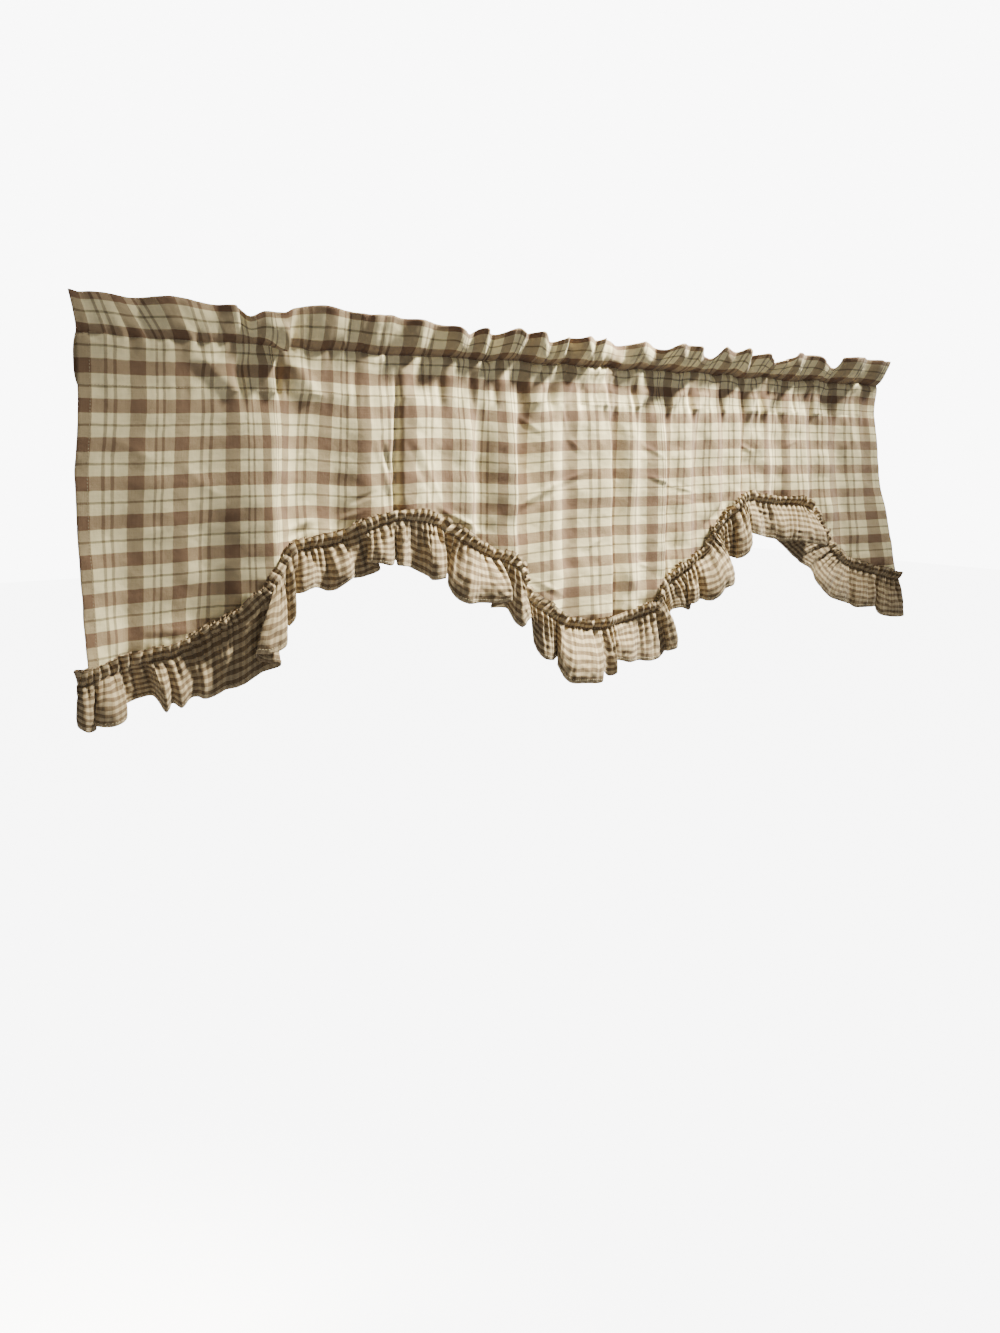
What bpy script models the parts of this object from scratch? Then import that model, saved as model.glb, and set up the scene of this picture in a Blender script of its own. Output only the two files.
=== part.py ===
"""Window valance: a plaid cotton panel on a rod pocket, with a gathered gingham ruffle.

The valance hangs as it does on its rod. X runs along the rod, the room is on the -Y side and
+Z is up. The origin is on the axis of the rod, at the middle of the valance.
"""
import math

import bmesh
import bpy

NAME = "window_valance"
MM = 0.001

# Driving dimensions, in millimetres.
WIDTH = 1203.0          # gathered width along the rod
POCKET = 49.0           # height of the rod pocket between its two seams
POCKET_FRONT = 5.5      # how far the pocket's front stands over its flat rod
POCKET_BACK = 8.5       # and its back
POCKET_ROUND = 0.36     # how far down the pocket its front stays full
SEAM_OUT = 3.5          # the pocket's seams lie this far in front of the rod's axis
CLOTH = 1.5             # thickness of the solid sheet
GAP = 1.3               # clearance between the pocket's lower seam and the drop
PANEL_BELOW_SEAM = 6.0  # the panel's lower edge, below the seam of the ruffle
RUFFLE_HEADING = 12.0   # gathered edge of the ruffle above its seam
RUFFLE_STRIP = 50.0     # the ruffle's cloth below its seam
FULL_FOLD = 90.0        # the drop's folds are full this far below the pocket
LEAST_BELOW = 60.0      # and reach their form at the hem at least this far below that
HEADER_FLARE = 8.0      # how far the header springs forward just above its seam
HEADER_SPREAD = 0.8     # below 1, the header's waves open quickly above its seam
SEAM_LIFT = 2.4         # the ruffle's middle surface in front of the panel's, at the seam
SEAM_SPAN = 5.0         # the ruffle lies over the panel's highest point this far to each side

STITCH_Z = POCKET / 2
PANEL_TOP_Z = -POCKET / 2 - CLOTH - GAP

# Steps of the meshes: columns between two rows of a table, and rows down the cloth.
HEADING_STEPS = 2
PANEL_STEPS = 3
RUFFLE_STEPS = 5
HEADER_LEVELS = (1.0, 0.5, 0.2)
POCKET_DOWNS = (0.0, 0.14, 0.4, 0.7, 1.0)
PANEL_LEVELS = (0.0, 0.07, 0.18, 0.32, 0.48, 0.66, 0.84, 1.0)
RUFFLE_LEVELS = (0.0, 0.25, 0.6, 1.0)


def rows(columns, *values):
    """A short table: every row becomes a dictionary with the named columns."""
    names = columns.split()
    return [dict(zip(names, row)) for row in values]


# The standing ruffle. out: forward (+) or back (-) at its top; rise: its height there.
HEADER_WAVES = rows(
    "along out rise",
    (0, 1, 38), (22, 4, 39), (50, -4, 37), (88, 5, 40), (125, -4, 37), (156, 6, 36),
    (165, -8, 27), (180, 6, 32), (200, 10, 33), (210, -4, 38), (240, 5, 43), (275, -4, 40), (303, 5, 39),
    (330, -6, 39), (345, 7, 38), (375, -5, 37), (408, 5, 31), (428, -8, 26), (445, 9, 34),
    (463, -8, 28), (490, 9, 37), (504, -8, 31), (526, 7, 35), (545, -9, 25), (570, 6, 31),
    (584, -6, 31), (603, 9, 35), (618, -6, 31), (634, 8, 36), (664, -9, 28), (700, 9, 35),
    (730, -9, 25), (752, 9, 35), (775, -4, 33), (786, 6, 32), (806, -9, 23), (822, -4, 20),
    (843, 10, 36), (866, -6, 31), (883, 8, 36), (903, -8, 28), (926, 8, 32), (949, -9, 21),
    (968, 6, 26), (978, -5, 29), (990, 9, 37), (1014, -3, 35), (1038, 6, 35), (1062, -7, 26),
    (1080, -5, 19), (1093, 9, 35), (1150, 3, 38), (1203, 6, 36))

# Folds of the drop, a crest and then the hollow to its right. Forward is +: at the pocket,
# a third of the way down and at the hem.
DROP_FOLDS = rows(
    "along pocket middle hem",
    (0, 1, 6, 5), (26, 0, 4, -3), (52, 0, 3, -12), (120, 1, 3, -12), (186, 4, 13, 17),
    (194, 3, 8, 12), (228, -2, -6, -4), (262, 0, -6, -4), (300, 2, 4, 3), (329, 3, 12, 8),
    (339, -2, 5, 5), (349, 2, 9, 6), (405, 0, 1, 2), (432, 1, 5, 4), (450, -2, -6.5, -5), (474, 1, 4, 2),
    (493, 3, 9, 7), (509, -2, -6, -4), (558, 1, 4, 4), (579, -2, -0.5, 1), (598, 1, 3.5, 4),
    (641, 2, 10, 10), (653, -3, -6, -8), (686, 2, 3.5, 3), (702, -1, -1, 0), (738, 2, 6, 6),
    (750, -2, -4, -5), (789, 2, 3.5, 2), (806, -2, -3.5, -2), (842, 2, 3.5, 4.5),
    (856, -1, -1, -1), (884, 2, 5, 5), (898, -2, -4, -3), (940, 1, 2.5, 1.5),
    (965, -2, -3, -2), (988, 2, 2.5, 2), (1024, 2, 4.5, 5), (1046, -3, -4.5, -4.5),
    (1078, 1, 1, 1.5), (1108, -3, -4.5, -3), (1140, 1, 2.5, 1), (1203, 0, 3, 13))

# The seam of the ruffle along the scalloped edge. drop: its depth below the header's seam.
SCALLOP = rows(
    "along drop",
    (0, 326), (40, 317), (90, 311), (127, 294), (163, 270), (184, 250), (202, 228), (222, 213),
    (262, 208), (302, 194), (340, 184), (379, 190), (421, 212), (458, 231), (494, 244),
    (512, 278), (556, 314), (602, 329), (640, 330), (690, 322), (728, 314), (744, 288),
    (794, 260), (822, 243), (840, 212), (882, 188), (902, 173), (940, 180), (1005, 184),
    (1024, 190), (1062, 238), (1082, 268), (1120, 284), (1160, 296), (1203, 308))

# Lobes of the ruffle, left to right. lean: how far the hem lies to the right of the seam;
# drop: how far it hangs below; swing: how far the lobe stands forward at the hem.
LOBES = rows(
    "along lean drop swing",
    (-7, -1, 44, 4), (20, 3, 48, 15), (50, 4, 42, 4), (76, -5, 50, 15), (96, -8, 48, 12),
    (119, -8, 53, 8), (140, -6, 58, 9), (160, -3, 60, 10), (183, 8, 58, 22), (202, 10, 50, 14),
    (222, 0, 45, 14), (246, -5, 46, 8), (267, -3, 47, 9), (286, -3, 45, 10), (302, -1, 44, 9),
    (320, -2, 49, 13), (340, -3, 50, 14), (357, -3, 54, 7), (378, 4, 56, 18), (401, -1, 56, 6),
    (423, -5, 58, 13), (448, 9, 56, 13), (476, 4, 60, 9), (508, 4, 58, 8), (531, 6, 58, 12),
    (565, 3, 61, 25), (604, 2, 62, 27), (634, 4, 58, 11), (661, -4, 55, 14), (696, 3, 54, 12),
    (723, 12, 52, 15), (750, 6, 46, 7), (784, 5, 48, 11), (806, 11, 51, 21), (824, 16, 52, 12),
    (844, 3, 48, 12), (877, 4, 54, 14), (904, -1, 52, 12), (945, -1, 50, 14), (990, 3, 56, 17),
    (1024, 8, 56, 16), (1055, -42, 38, 4), (1083, -40, 38, 9), (1114, -34, 43, 10),
    (1150, -22, 49, 12), (1198, 6, 56, 14))

HOLLOW_SWING = -1.5     # the ruffle between two lobes lies this far forward
FRILL_FORWARD = 3.0     # the top of its frill stands this far in front of the seam
GATHER_AT_SEAM = 0.16   # the part of a lobe's swing that is left at the seam

# The pocket along its length: how far it stands open, from 0 to 1.
POCKET_OPEN = rows(
    "along open",
    (0, 0.4), (120, 0.3), (180, 0.34), (300, 0.45), (430, 0.7), (620, 0.85), (1050, 0.9),
    (1203, 0.95))

# Sideways drift of the two ends, down the cloth.
END_DRIFT = rows(
    "down left right",
    (0, 0, 0), (49, 1, -7), (137, -4, 2), (250, 3, 22), (320, 8, 32))
DRIFT_REACH = 280.0     # how far in from an end its drift is felt

# How the standing ruffle leans at its top: to the right, and forward.
HEADER_LEAN = rows(
    "along right forward",
    (0, -8, 0), (30, -16, 0), (70, -22, 1), (120, -15, 1), (190, -3, 2), (260, 0, 8),
    (450, 2, 11), (560, 4, 11), (612, 9, 9), (632, 10, -5), (668, 10, -3), (702, 10, 10),
    (760, 10, 12.5), (1080, 10, 12), (1140, 12, 9), (1203, 18, 5))


def read(table, column, at, key="along"):
    """The column's value at a place between two rows, eased from one row to the next."""
    below = table[0]
    for row in table:
        if row[key] >= at:
            break
        below = row
    else:
        return below[column]
    span = row[key] - below[key]
    if span <= 0:
        return row[column]
    step = (at - below[key]) / span
    ease = step * step * (3 - 2 * step)
    return below[column] + (row[column] - below[column]) * ease


def stations(table, steps):
    """Places along the valance: every row of the table, with steps between two rows."""
    places = []
    for left, right in zip(table, table[1:]):
        for step in range(steps):
            places.append(left["along"] + (right["along"] - left["along"]) * step / steps)
    places.append(table[-1]["along"])
    return places


def drift(along, z):
    """Sideways shift of the cloth near its two ends, at a height."""
    down = max(0.0, STITCH_Z - z)
    left = max(0.0, 1 - along / DRIFT_REACH)
    right = max(0.0, 1 - (WIDTH - along) / DRIFT_REACH)
    shift_left = read(END_DRIFT, "left", down, "down") * left
    return shift_left + read(END_DRIFT, "right", down, "down") * right


def seam_z(along):
    """Height of the ruffle's seam."""
    return STITCH_Z - read(SCALLOP, "drop", along)


def panel_out(along, z):
    """How far the hanging drop stands forward at a place and a height."""
    top = PANEL_TOP_Z
    middle = top - FULL_FOLD
    hem = min(seam_z(along), middle - LEAST_BELOW)
    pocket = read(DROP_FOLDS, "pocket", along)
    full = read(DROP_FOLDS, "middle", along)
    low = read(DROP_FOLDS, "hem", along)
    if z >= middle:
        step = (top - z) / (top - middle)
        return pocket + (full - pocket) * step * (2 - step)
    step = min(1.0, (middle - z) / (middle - hem))
    return full + (low - full) * step


def point(along, out, z):
    """A point in the valance's own frame, in metres."""
    x = along - WIDTH / 2 + drift(along, z)
    return (x * MM, -(out + SEAM_OUT) * MM, z * MM)


def panel_point(along, level):
    """The drop's middle surface: level 0 at the pocket, 1 at its lower edge."""
    bottom = seam_z(along) - PANEL_BELOW_SEAM
    z = PANEL_TOP_Z + (bottom - PANEL_TOP_Z) * level
    return point(along, panel_out(along, z), z)


def header_point(along, level):
    """The standing ruffle: level 0 at its seam, 1 at its folded top."""
    right = read(HEADER_LEAN, "right", along)
    z = STITCH_Z + read(HEADER_WAVES, "rise", along + right) * level
    out = read(HEADER_WAVES, "out", along + right * level) * level ** HEADER_SPREAD
    flare = HEADER_FLARE * read(POCKET_OPEN, "open", along) * min(1.0, level / 0.3)
    out += flare + read(HEADER_LEAN, "forward", along) * level
    x, y, z = point(along, out, z)
    return (x + right * level * MM, y, z)


def pocket_point(along, wall):
    """The rod pocket: wall is its side, 1 in front and -1 behind, and how far down it."""
    side, down = wall
    inside = 1 - abs(2 * down - 1) ** 3
    if side > 0:
        full = math.exp(-(down / POCKET_ROUND) ** 2) * min(1.0, down / POCKET_DOWNS[1])
        wall_out = POCKET_FRONT * read(POCKET_OPEN, "open", along) * full + inside
    else:
        wall_out = -POCKET_BACK * inside
    swayed = max(0.0, 2 * down - 1) ** 1.5 * read(DROP_FOLDS, "pocket", along)
    return point(along, swayed + wall_out, STITCH_Z - POCKET * down)


def ruffle_row(number):
    """A lobe of the ruffle, or the hollow after it, as a row between two lobes."""
    lobe = LOBES[number // 2]
    if number % 2 == 0:
        return lobe
    after = LOBES[number // 2 + 1]
    row = {key: (lobe[key] + after[key]) / 2 for key in lobe}
    row["swing"] = HOLLOW_SWING
    row["drop"] -= 2.0
    return row


def ruffle_point(ribs, along, level):
    """The ruffle: level 0 at the top of its heading, 1 at its hem."""
    strip = RUFFLE_HEADING + RUFFLE_STRIP
    below = (level * strip - RUFFLE_HEADING) / (strip - RUFFLE_HEADING)
    held = min(max(along, 0.0), WIDTH)
    z = seam_z(held)
    near = (held - SEAM_SPAN, held - SEAM_SPAN / 2, held, held + SEAM_SPAN / 2, held + SEAM_SPAN)
    base = max(panel_out(place, z) for place in near) + SEAM_LIFT
    swing = read(ribs, "swing", along)
    gather = GATHER_AT_SEAM * (swing - HOLLOW_SWING)
    if below <= 0:
        above = -below * RUFFLE_STRIP / RUFFLE_HEADING
        return point(along, base + gather + FRILL_FORWARD * above, z + RUFFLE_HEADING * above)
    hang = read(ribs, "drop", along) * below
    out = base + gather + (swing - gather) * below ** 0.8
    x, y, z = point(along, out, z - hang)
    return (x + read(ribs, "lean", along) * below * MM, y, z)


def material(name, colour, roughness):
    """A plain cloth material."""
    made = bpy.data.materials.new(name)
    made.use_nodes = True
    shader = made.node_tree.nodes["Principled BSDF"]
    shader.inputs["Base Color"].default_value = (*colour, 1)
    shader.inputs["Roughness"].default_value = roughness
    shader.inputs["Metallic"].default_value = 0
    return made


def grid_mesh(columns, levels, place):
    """A grid of cloth whose vertices are moved to place(column, level)."""
    mesh = bmesh.new()
    across = len(columns) - 1
    down = len(levels) - 1
    bmesh.ops.create_grid(mesh, x_segments=across, y_segments=down, size=0.5)
    for vertex in mesh.verts:
        column = columns[round((vertex.co.x + 0.5) * across)]
        level = levels[round((0.5 - vertex.co.y) * down)]
        vertex.co = place(column, level)
    return mesh


def sheet(name, mesh, collection, surface, joined=False):
    """An object made of a bmesh of the cloth's middle surface, given its thickness."""
    data = bpy.data.meshes.new(name)
    mesh.to_mesh(data)
    mesh.free()
    data.shade_smooth()
    data.materials.append(surface)
    made = bpy.data.objects.new(name, data)
    collection.objects.link(made)
    thick = made.modifiers.new("cloth", "SOLIDIFY")
    thick.thickness = CLOTH * MM
    thick.offset = 0
    if joined:
        thick.solidify_mode = "NON_MANIFOLD"
        thick.nonmanifold_thickness_mode = "EVEN"
    else:
        thick.use_even_offset = True
        thick.thickness_clamp = 1.0
    return made


def make_heading(collection):
    """The header and the rod pocket: one sheet whose lower part is closed round the rod."""
    levels = [("header", level) for level in HEADER_LEVELS]
    levels += [("pocket", (1, down)) for down in POCKET_DOWNS]
    levels += [("pocket", (-1, down)) for down in reversed(POCKET_DOWNS[:-1])]

    def place(along, level):
        part, value = level
        if part == "header":
            return header_point(along, value)
        return pocket_point(along, value)

    mesh = grid_mesh(stations(HEADER_WAVES, HEADING_STEPS), levels, place)
    bmesh.ops.remove_doubles(mesh, verts=mesh.verts, dist=0.01 * MM)
    surface = material("plaid_heading", (0.56, 0.46, 0.35), 0.9)
    return sheet("heading", mesh, collection, surface, joined=True)


def make_panel(collection):
    """The hanging drop, from under the pocket to the scalloped edge."""
    mesh = grid_mesh(stations(DROP_FOLDS, PANEL_STEPS), PANEL_LEVELS, panel_point)
    return sheet("panel", mesh, collection, material("plaid_drop", (0.6, 0.5, 0.39), 0.9))


def make_ruffle(collection):
    """The gathered gingham strip along the scalloped edge."""
    ribs = [ruffle_row(number) for number in range(2 * len(LOBES) - 1)]

    def place(along, level):
        return ruffle_point(ribs, along, level)

    mesh = grid_mesh(stations(ribs, RUFFLE_STEPS), RUFFLE_LEVELS, place)
    surface = material("gingham_ruffle", (0.46, 0.36, 0.25), 0.9)
    return sheet("ruffle", mesh, collection, surface)


def main():
    for old in list(bpy.data.objects):
        bpy.data.objects.remove(old)
    collection = bpy.data.collections.new(NAME)
    bpy.context.scene.collection.children.link(collection)
    make_heading(collection)
    make_panel(collection)
    make_ruffle(collection)


main()
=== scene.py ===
"""Looks of the window valance: plaid cloth on a rod pocket with a gathered gingham ruffle.

Sizes are in millimetres in the valance's own frame: along runs from the left end to the right
end of the rod, out is towards the room and z is height above the rod's axis.
"""
import math

import bpy
import numpy as np
from mathutils import Matrix, Vector

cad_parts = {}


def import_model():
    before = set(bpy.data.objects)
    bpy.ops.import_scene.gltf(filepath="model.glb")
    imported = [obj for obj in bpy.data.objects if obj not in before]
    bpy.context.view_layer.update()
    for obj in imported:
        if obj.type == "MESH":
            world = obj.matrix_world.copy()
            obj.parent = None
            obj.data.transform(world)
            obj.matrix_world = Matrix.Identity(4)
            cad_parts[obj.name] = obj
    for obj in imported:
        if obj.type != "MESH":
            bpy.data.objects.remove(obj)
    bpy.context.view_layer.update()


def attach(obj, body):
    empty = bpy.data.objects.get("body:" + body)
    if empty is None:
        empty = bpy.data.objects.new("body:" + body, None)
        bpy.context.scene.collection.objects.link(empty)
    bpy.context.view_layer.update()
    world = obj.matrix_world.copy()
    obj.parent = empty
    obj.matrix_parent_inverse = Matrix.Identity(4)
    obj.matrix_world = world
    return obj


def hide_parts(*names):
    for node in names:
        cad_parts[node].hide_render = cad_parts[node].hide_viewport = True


MM = 0.001

# ---------------- sizes of the valance
WIDTH = 1203.0          # gathered width along the rod
HEADER = 38.0           # cloth in the standing ruffle
POCKET = 49.0           # height of the rod pocket
POCKET_FRONT = 4.5      # how far the pocket's front stands over the flat rod
POCKET_BACK = 8.5       # and its back
SEAM_OUT = 3.5          # the pocket's seams lie this far in front of the rod's axis
PANEL_BELOW_SEAM = 6.0  # the panel's lower edge, below the seam of the ruffle
RUFFLE_HEADING = 15.0   # gathered edge of the ruffle above its seam
RUFFLE_DROP = 54.0      # cloth of the ruffle below its seam
LAYERS = 0.7            # half the distance between the header's two layers
HEM_DEPTH = 0.8         # how far a folded hem lies behind its cloth
PLAID_HEM = 13.0        # width of the plaid's side hems
RUFFLE_HEM = 6.0        # and of the ruffle's
CLOTH_LIFT = 0.35       # the plaid's right side lies this far in front of its middle

STITCH_Z = POCKET / 2
SEAM_Z = -POCKET / 2

# Yarn repeats of the cloths.
WARP_REPEAT = 58.0
WEFT_REPEAT = 36.6
WEFT_LINE_AT = 18.6     # distance of the first thin weft line from the header's top
CHECK_REPEAT = 7.8
TAKEN_UP = 5.5          # cloth taken up by the stitches of the header's seam
POCKET_CLOTH = 47.0     # cloth in the front of the pocket
YARN = 0.55             # width of one yarn


def rows(columns, *values):
    """A short table: every row becomes a dictionary with the named columns."""
    names = columns.split()
    return [dict(zip(names, row)) for row in values]


# The standing ruffle. out: forward (+) or back (-) at its top; rise: its height there.
HEADER_WAVES = rows(
    "along out rise",
    (0, 1, 38), (22, 4, 39), (50, -4, 37), (88, 5, 40), (125, -4, 37), (156, 6, 36),
    (165, -8, 27), (180, 6, 32), (200, 10, 33), (210, -4, 38), (240, 5, 43), (275, -4, 40),
    (303, 5, 39), (330, -6, 39), (345, 7, 38), (375, -5, 37), (408, 5, 31), (428, -8, 26),
    (445, 9, 34),
    (463, -8, 28), (490, 9, 37), (504, -8, 31), (526, 7, 35), (545, -9, 25), (570, 6, 31),
    (584, -6, 31), (603, 9, 35), (618, -6, 31), (634, 8, 36), (664, -9, 28), (700, 9, 35),
    (730, -9, 25), (752, 9, 35), (775, -4, 33), (786, 6, 32), (806, -9, 23), (822, -4, 20),
    (843, 10, 36), (866, -6, 31), (883, 8, 36), (903, -8, 28), (926, 8, 32), (949, -9, 21),
    (968, 6, 26), (978, -5, 29), (990, 9, 37), (1014, -3, 35), (1038, 6, 35), (1062, -7, 26),
    (1080, -5, 19), (1093, 9, 35), (1150, 3, 38), (1203, 6, 36))

# Folds of the drop, a crest and then the hollow to its right. Forward is +: at the pocket,
# a third of the way down and at the hem.
DROP_FOLDS = rows(
    "along pocket middle hem",
    (0, 1, 6, 5), (26, 0, 4, -3), (52, 0, 3, -12), (120, 1, 3, -12), (186, 4, 13, 17),
    (194, 3, 8, 12), (228, -2, -6, -4), (262, 0, -6, -4), (300, 2, 4, 3), (328, 2, 5, 5),
    (339, -1, -4, -4), (342.5, 4, 6, 6), (360, 4, 6, 5), (405, 0, 1, 2), (432, 1, 5, 4),
    (450, -2, -6.5, -5), (474, 1, 4, 2), (493, 3, 9, 7), (509, -2, -6, -4), (558, 1, 4, 4),
    (579, -2, -0.5, 1), (598, 1, 3.5, 4),
    (641, 2, 10, 10), (653, -3, -6, -8), (686, 2, 3.5, 3), (702, -1, -1, 0), (738, 2, 6, 6),
    (750, -2, -4, -5), (789, 2, 3.5, 2), (806, -2, -3.5, -2), (842, 2, 3.5, 4.5),
    (856, -1, -1, -1), (884, 2, 5, 5), (898, -2, -4, -3), (940, 1, 2.5, 1.5),
    (965, -2, -3, -2), (988, 2, 2.5, 2), (1024, 2, 4.5, 5), (1046, -3, -4.5, -4.5),
    (1078, 1, 1, 1.5), (1108, -3, -4.5, -3), (1140, 1, 2.5, 1), (1203, 0, 3, 13))
FOLD_SHEAR = 0.3        # how far a fold leans to the right, for its height

# The seam of the ruffle along the scalloped edge. drop: its depth below the header's seam.
SCALLOP = rows(
    "along drop",
    (0, 326), (40, 317), (90, 311), (127, 294), (163, 270), (184, 250), (202, 228), (222, 213),
    (262, 208), (302, 194), (340, 184), (379, 190), (421, 212), (458, 231), (494, 244),
    (512, 278), (556, 314), (602, 329), (640, 330), (690, 322), (728, 314), (744, 288),
    (794, 260), (822, 243), (840, 212), (882, 188), (902, 173), (940, 180), (1005, 184),
    (1024, 190), (1062, 238), (1082, 268), (1120, 284), (1160, 296), (1203, 308))

# The hem of the ruffle, left to right, with its folds turned under. along: where that cloth
# is gathered on the seam; lean: how far the hem lies to the right of it; drop: how far it
# hangs below; out: how far it stands forward of the rod.
HEM_FOLDS = rows(
    "along lean drop out",
    (-10, 0, 31, 8), (-7, -2, 38, 18), (0, 0, 43, 21), (5, 3, 43, 12), (8, -1, 39, 8),
    (12, -6, 41, 20), (21, 0, 45, 28), (30, 5, 43, 20), (32, 5, 36, 2), (35, 8, 35, -13),
    (46, 8, 34, -16), (59, 8, 34, -13), (70, 6, 49, 14),
    (76, 8, 43, 5), (86, 6, 49, 12), (93, 8, 43, 8), (102, 6, 45, 6), (116, -1, 54, 14),
    (124, 2, 58, 9), (138, -3, 59, 17), (148, 1, 65, 12), (160, -2, 67, 22), (170, 4, 69, 15),
    (179, 13, 72, 20), (182, -16, 66, 30), (186, -27, 62, 44), (190, -18, 68, 48),
    (196, -2, 70, 38), (198, -4, 59, 26), (201, 0, 55, 14), (203, -1, 61, 24), (208, 1, 57, 26),
    (211, -2, 42, 12), (216, -2, 40, 8), (220, -8, 43, 16), (227, -8, 43, 26), (233, -4, 41, 24),
    (238, 2, 42, 12), (248, 2, 47, 12), (262, -3, 45, 28), (271, 3, 39, 26), (279, 6, 43, 8),
    (289, 8, 46, 6), (296, 18, 42, 6), (299, -4, 34, 16), (313, -5, 40, 24), (325, -3, 47, 24),
    (330, 5, 44, 4), (335, -2, 50, 14), (342, -5, 51, 20), (349, 2, 53, 6), (360, 4, 58, 4),
    (370, -1, 60, 16), (380, -8, 62, 28), (391, -2, 57, 28), (394, 0, 50, 8), (403, 1, 48, 0),
    (415, -15, 54, 12), (423, -16, 63, 22), (436, -18, 62, 32), (447, -11, 57, 26),
    (458, -5, 53, 34), (468, 9, 49, 34), (478, -20, 54, 12), (483, 1, 56, 6), (490, -1, 67, 14),
    (496, 2, 71, 20), (502, 10, 52, 14), (507, 16, 42, 2), (519, 7, 56, 6), (534, -1, 58, 16),
    (547, 3, 53, 14), (554, 6, 47, 6), (562, -11, 52, 22), (578, -19, 63, 36),
    (600, -18, 62, 42), (616, -7, 63, 40), (625, -5, 51, 24), (629, 3, 60, 20), (638, 3, 57, 28),
    (643, 2, 43, 14), (653, 3, 45, 16), (677, -7, 53, 20), (690, 0, 56, 12), (708, -4, 61, 16),
    (720, 7, 62, 12), (728, 13, 58, 4), (731, 7, 59, 18), (735, 17, 61, 22), (738, 11, 37, 6),
    (744, 7, 33, 4), (755, 11, 36, 12), (766, 17, 46, 10), (771, 17, 43, 8), (779, -2, 44, 16),
    (788, -3, 47, 22), (796, 3, 48, 16), (807, -5, 55, 28), (819, -6, 61, 36), (826, 3, 56, 38),
    (832, 17, 61, 36), (834, 17, 37, 14), (838, 12, 41, 4), (854, 8, 50, 6), (868, 8, 60, 6),
    (872, -3, 62, 16), (880, -1, 63, 24), (888, 5, 57, 24), (894, 6, 48, 12), (902, -3, 48, 16),
    (915, -3, 50, 20), (925, 4, 50, 10), (944, 2, 51, 14), (964, -4, 54, 24), (989, -13, 52, 28),
    (1011, -7, 54, 32), (1028, 15, 53, 34), (1037, -8, 36, 18), (1043, -59, 23, 8),
    (1049, -94, 12, 4), (1057, -81, 18, 4), (1065, -65, 25, 5), (1072, -46, 28, 6),
    (1076, -49, 33, 12), (1084, -53, 38, 20), (1097, -44, 48, 20), (1111, -30, 52, 18),
    (1118, -12, 56, 10), (1131, -24, 56, 20), (1148, -19, 53, 22), (1159, -9, 50, 20),
    (1163, -5, 47, 10), (1174, -17, 57, 20), (1190, -10, 60, 24), (1204, 11, 58, 22),
    (1209, 15, 52, 12))

# Where the middles of the brown warp bands come, along the rod.
BANDS = rows(
    "along", *[(place,) for place in (
        4, 57, 98, 149, 180, 202, 255, 294, 350, 405, 440, 478, 510, 583, 652, 722, 748, 800,
        848, 893, 943, 984, 1040, 1094, 1172)])

# Sideways drift of the two ends, down the cloth.
END_DRIFT = rows(
    "down left right",
    (0, 0, 0), (49, 1, -7), (137, -4, 2), (250, 3, 22), (320, 8, 32))
DRIFT_REACH = 280.0     # the ends drift over this much of the width
# How the standing ruffle leans at its top: to the right, and forward.
HEADER_LEAN = rows(
    "along right forward",
    (0, -8, 0), (30, -16, 0), (70, -22, 1), (120, -15, 1), (190, -3, 2), (260, 0, 8),
    (450, 2, 11), (560, 4, 11), (612, 9, 9), (632, 10, -5), (668, 10, -3), (702, 10, 10),
    (760, 10, 12.5), (1080, 10, 12), (1140, 12, 9), (1203, 18, 5))
KNOT = 202.0            # here a fold of the header hangs over its seam
KNOT_OUT = 16           # how far the fold stands forward
KNOT_SAG = 14           # and how far it hangs down
FLARE = 10.5            # how far the header springs forward just above its seam
HEADER_SWING = 0.8      # how much wider the header's waves swing than its middle line

# Creases pressed or dragged into the drop: from one point to another, height and half width.
CREASES = rows(
    "along down along_to down_to height wide",
    (134, 14, 160, 46, -2.6, 4), (148, 14, 166, 50, 1.6, 4),
    (314, 92, 345, 182, -2.4, 3), (308, 96, 338, 186, 1.8, 3), (322, 96, 336, 150, 1.6, 2.2),
    (352, 84, 408, 190, 1.1, 4), (344, 92, 398, 196, -1.0, 4),
    (382, 168, 470, 212, 1.4, 3.4), (386, 176, 458, 218, -1.3, 3.4),
    (496, 182, 566, 143, 1.3, 2.8), (502, 188, 572, 150, -0.9, 3.2),
    (548, 152, 612, 132, 1.0, 2.6), (556, 158, 616, 139, -0.7, 3),
    (500, 62, 540, 84, 0.9, 2.8), (498, 68, 538, 91, -0.7, 3),
    (576, 86, 604, 110, 0.7, 3), (572, 92, 598, 116, -0.3, 3), (566, 40, 580, 88, 1.4, 3),
    (708, 138, 762, 154, 0.9, 2.6), (704, 144, 764, 161, -0.6, 3),
    (756, 152, 812, 165, 0.9, 2.6), (770, 170, 826, 178, -0.7, 3),
    (526, 262, 575, 288, 0.8, 2.6), (522, 268, 572, 295, -0.6, 2.6),
    (518, 276, 548, 298, 0.6, 3), (60, 292, 118, 297, -0.9, 3), (58, 285, 120, 289, 0.7, 3),
    (196, 196, 250, 178, 1.5, 3.4), (200, 203, 254, 186, -1.3, 3.4),
    (280, 166, 312, 152, -1.3, 3), (262, 186, 300, 172, 1.0, 3),
    (700, 96, 742, 118, 1.0, 3), (640, 128, 668, 150, 0.9, 3), (600, 230, 636, 214, 0.9, 3),
    (690, 250, 722, 262, 1.0, 3), (884, 92, 920, 108, 1.0, 3), (980, 100, 1012, 88, 0.9, 3),
    (806, 234, 878, 168, 1.6, 4), (801, 226, 866, 166, -1.3, 4),
    (1058, 60, 1086, 22, -1.6, 4), (1120, 36, 1160, 120, 1.4, 6),
    (30, 96, 74, 120, 0.8, 4), (70, 190, 118, 170, 0.7, 4), (96, 120, 140, 160, 0.7, 4))

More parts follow.
